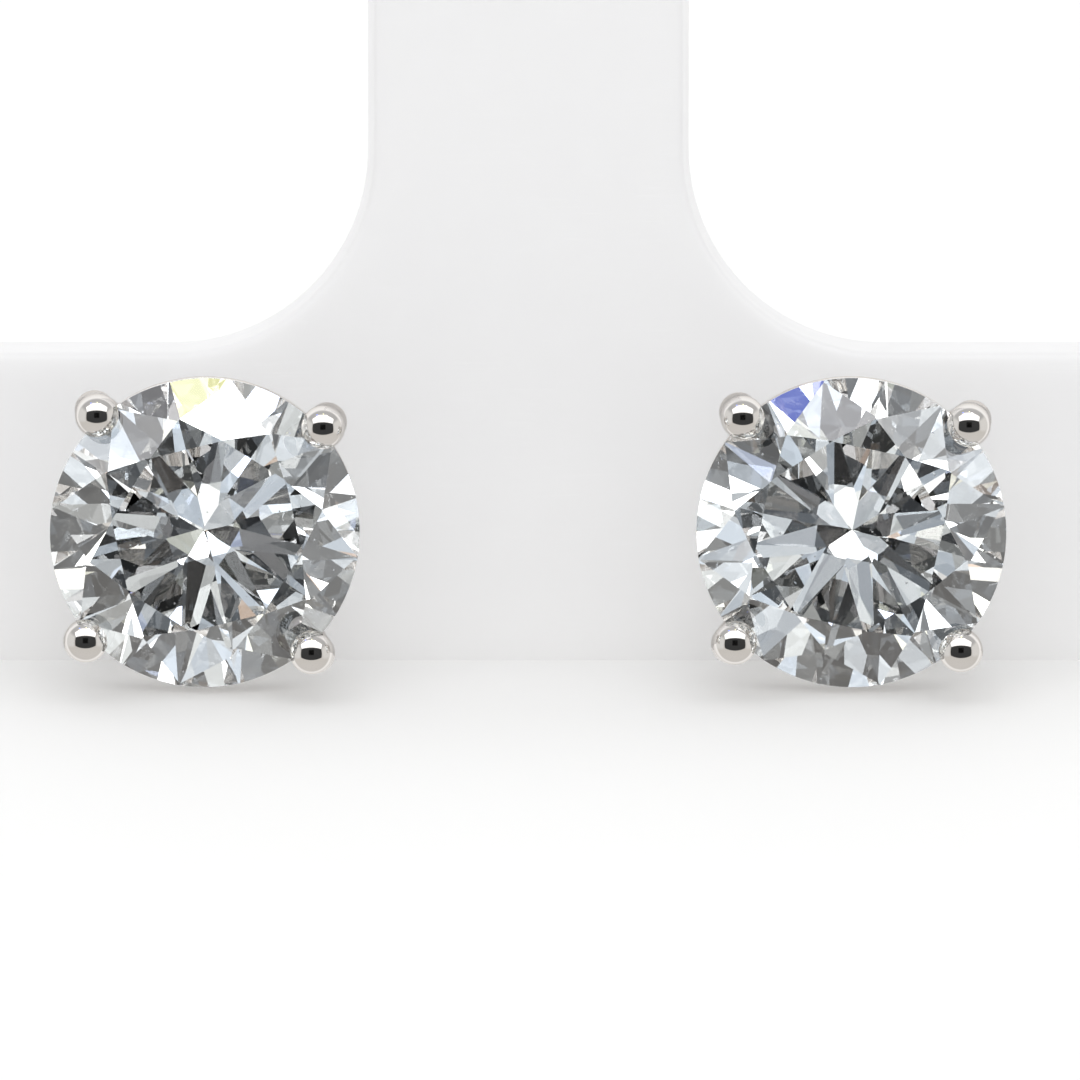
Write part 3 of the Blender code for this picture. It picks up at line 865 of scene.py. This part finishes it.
def tent_mask(tree, direction, azimuth, height, wide, tall, soft):
    """Where a flat rectangular panel that faces the object is seen, 0 to 1."""
    azimuth = math.radians(azimuth)
    height = math.radians(height)
    ahead = Vector((math.sin(azimuth) * math.cos(height),
                    -math.cos(azimuth) * math.cos(height), math.sin(height)))
    right = Vector((math.cos(azimuth), math.sin(azimuth), 0.0))
    up = right.cross(ahead) * -1.0

    def along(axis):
        made = put(tree, "ShaderNodeVectorMath", {0: direction, 1: axis}, operation="DOT_PRODUCT")
        return made.outputs["Value"]

    facing = along(ahead)
    close = sum_up(tree, "MAXIMUM", facing, 0.001)
    mask = ramp(tree, facing, 0.0, 0.05)
    for axis, half in ((right, wide), (up, tall)):
        offset = sum_up(tree, "ABSOLUTE", sum_up(tree, "DIVIDE", along(axis), close))
        limit = math.tan(math.radians(half))
        side = ramp(tree, offset, limit - soft, limit + soft, 1.0, 0.0)
        mask = sum_up(tree, "MULTIPLY", mask, side)
    return mask


def colour_stops(tree, value, stops, interpolation):
    """A colour ramp from a table of spots and colours or grey values."""
    made = put(tree, "ShaderNodeValToRGB", {0: value})
    made.color_ramp.interpolation = interpolation
    marks = made.color_ramp.elements
    while len(marks) < len(stops):
        marks.new(0.5)
    for mark, (spot, colour) in zip(marks, stops):
        mark.position = spot
        mark.color = (*colour, 1.0) if isinstance(colour, tuple) else (colour,) * 3 + (1.0,)
    return made.outputs[0]


def soft_light(tree, direction, height):
    """What lights the matt things: pale walls, a bright top, light from behind."""
    walls = colour_stops(tree, ramp(tree, height, -1.0, 1.0), (
        (0.0, 0.60), (0.50, 0.76), (0.72, 0.56), (1.0, 0.9),
    ), "LINEAR")
    light = put(tree, "ShaderNodeBackground", {"Color": walls, "Strength": 1.0}).outputs[0]
    for strength, *panel in SOFT_PANELS:
        box = put(tree, "ShaderNodeBackground", {
            "Color": (1.0, 1.0, 1.0, 1.0), "Strength": strength,
        })
        light = put(tree, "ShaderNodeMixShader", {
            0: tent_mask(tree, direction, *panel), 1: light, 2: box.outputs[0],
        }).outputs[0]
    return light


def sharp_light(tree, direction, height, inside):
    """What is mirrored in the metal and broken up inside the stones."""
    cards = put(tree, "ShaderNodeTexVoronoi", {
        "Vector": direction, "Scale": 1.0 / CARD_SIZE, "Randomness": 1.0,
    })
    pick = put(tree, "ShaderNodeSeparateColor", {0: cards.outputs["Color"]}).outputs
    shades = [(spot, value / CARD_BRIGHTEST) for spot, value in CARD_BRIGHTNESS]
    bright = colour_stops(tree, pick[0], shades, "LINEAR")
    bright = sum_up(tree, "MULTIPLY", bright, CARD_BRIGHTEST)
    bright = ramp(tree, inside, 0.0, 1.0, 1.0, bright)
    tints = [(spot, tuple(v / CARD_TINT_MOST for v in tint)) for spot, tint in CARD_TINTS]
    tint = colour_stops(tree, pick[1], tints, "CONSTANT")
    tint = put(tree, "ShaderNodeVectorMath", {
        0: tint, 1: (CARD_TINT_MOST,) * 3,
    }, operation="MULTIPLY")
    tint = blend_colours(tree, inside, (1.0, 1.0, 1.0, 1.0), tint.outputs[0])
    walls = colour_stops(tree, ramp(tree, height, -1.0, 1.0), (
        (0.0, (0.70, 0.68, 0.66)), (0.30, (0.68, 0.66, 0.63)), (0.46, (0.66, 0.64, 0.62)),
        (0.54, (0.70, 0.69, 0.67)), (0.72, (0.50, 0.50, 0.50)), (1.0, (0.55, 0.55, 0.56)),
    ), "LINEAR")
    behind = ramp(tree, put(tree, "ShaderNodeSeparateXYZ", {0: direction}).outputs[1], 0.25, 0.45)
    whole = blend_colours(tree, behind, walls, (1.12, 1.12, 1.12, 1.0))
    for _, azimuth, high, wide, tall, soft, colour, mirrored, broken in PANELS:
        mask = tent_mask(tree, direction, azimuth, high, wide, tall, soft)
        strength = ramp(tree, inside, 0.0, 1.0, mirrored, broken)
        lit = put(tree, "ShaderNodeVectorMath", {0: colour, "Scale": strength}, operation="SCALE")
        whole = blend_colours(tree, mask, whole, lit.outputs[0])
    whole = put(tree, "ShaderNodeVectorMath", {0: whole, 1: tint}, operation="MULTIPLY").outputs[0]
    return put(tree, "ShaderNodeBackground", {"Color": whole, "Strength": bright}).outputs[0]


def make_tent():
    """Soft studio light as a tent of cards: pale walls, a softbox, the dark open front."""
    world = bpy.data.worlds.new("light_tent")
    bpy.context.scene.world = world
    world.use_nodes = True
    tree = world.node_tree
    tree.nodes.clear()
    direction = put(tree, "ShaderNodeTexCoord").outputs["Generated"]
    height = put(tree, "ShaderNodeSeparateXYZ", {0: direction}).outputs[2]
    path = put(tree, "ShaderNodeLightPath").outputs
    inside = path["Is Transmission Ray"]
    light = put(tree, "ShaderNodeMixShader", {
        0: sum_up(tree, "MAXIMUM", path["Is Glossy Ray"], inside),
        1: soft_light(tree, direction, height),
        2: sharp_light(tree, direction, height, inside),
    })
    put(tree, "ShaderNodeOutputWorld", {"Surface": light.outputs[0]})


def make_camera():
    above = math.radians(VIEW_ABOVE)
    spot = Vector((
        VIEW_ACROSS,
        VIEW_UP * math.cos(above) + VIEW_DISTANCE * math.sin(above),
        -VIEW_UP * math.sin(above) + VIEW_DISTANCE * math.cos(above),
    ))
    place = plate_place()
    turn = place.to_3x3().normalized().to_4x4() @ Matrix.Rotation(-above, 4, "X")
    data = bpy.data.cameras.new("camera")
    data.lens = LENS
    data.sensor_width = SENSOR
    data.clip_start = 0.01
    data.clip_end = 10.0
    camera = bpy.data.objects.new("camera", data)
    bpy.context.scene.collection.objects.link(camera)
    camera.matrix_world = Matrix.Translation(place @ spot) @ turn
    bpy.context.scene.camera = camera


def set_light_paths():
    """Bounces enough for the stones, and few enough to render in good time."""
    scene = bpy.context.scene
    scene.cycles.max_bounces = 16
    scene.cycles.glossy_bounces = 12
    scene.cycles.transmission_bounces = 14
    scene.cycles.diffuse_bounces = 3
    scene.view_settings.view_transform = "Standard"
    scene.view_settings.look = "None"


# ------------------------------------------------------------------- putting it up

hairlines = hairline_group()
dust = speck_group()
satin_white = stand_finish(hairlines, dust)
bright_gold = metal_finish("polished_white_gold", hairlines, dust, 0.06, 0.5)
turned_gold = metal_finish("turned_white_gold", hairlines, dust, 0.12, 1.0)
clear_stone = stone_finish("clear_polished_stone", dust, 0.0, 0.6)
ground_girdle = stone_finish("ground_girdle", dust, 0.22, 0.0)

make_stand(satin_white)
basket = basket_tree(bright_gold)
for side, across, roll, swing, kite, seed in STUDS:
    place = stud_place(across, roll)
    lie = stone_place(roll, swing, kite)
    make_brilliant(side, place, lie, seed, clear_stone, ground_girdle)
    make_basket(side, place, lie, basket, bright_gold)
    make_back(side, place, turned_gold)

make_floor()
make_tent()
make_camera()
set_light_paths()
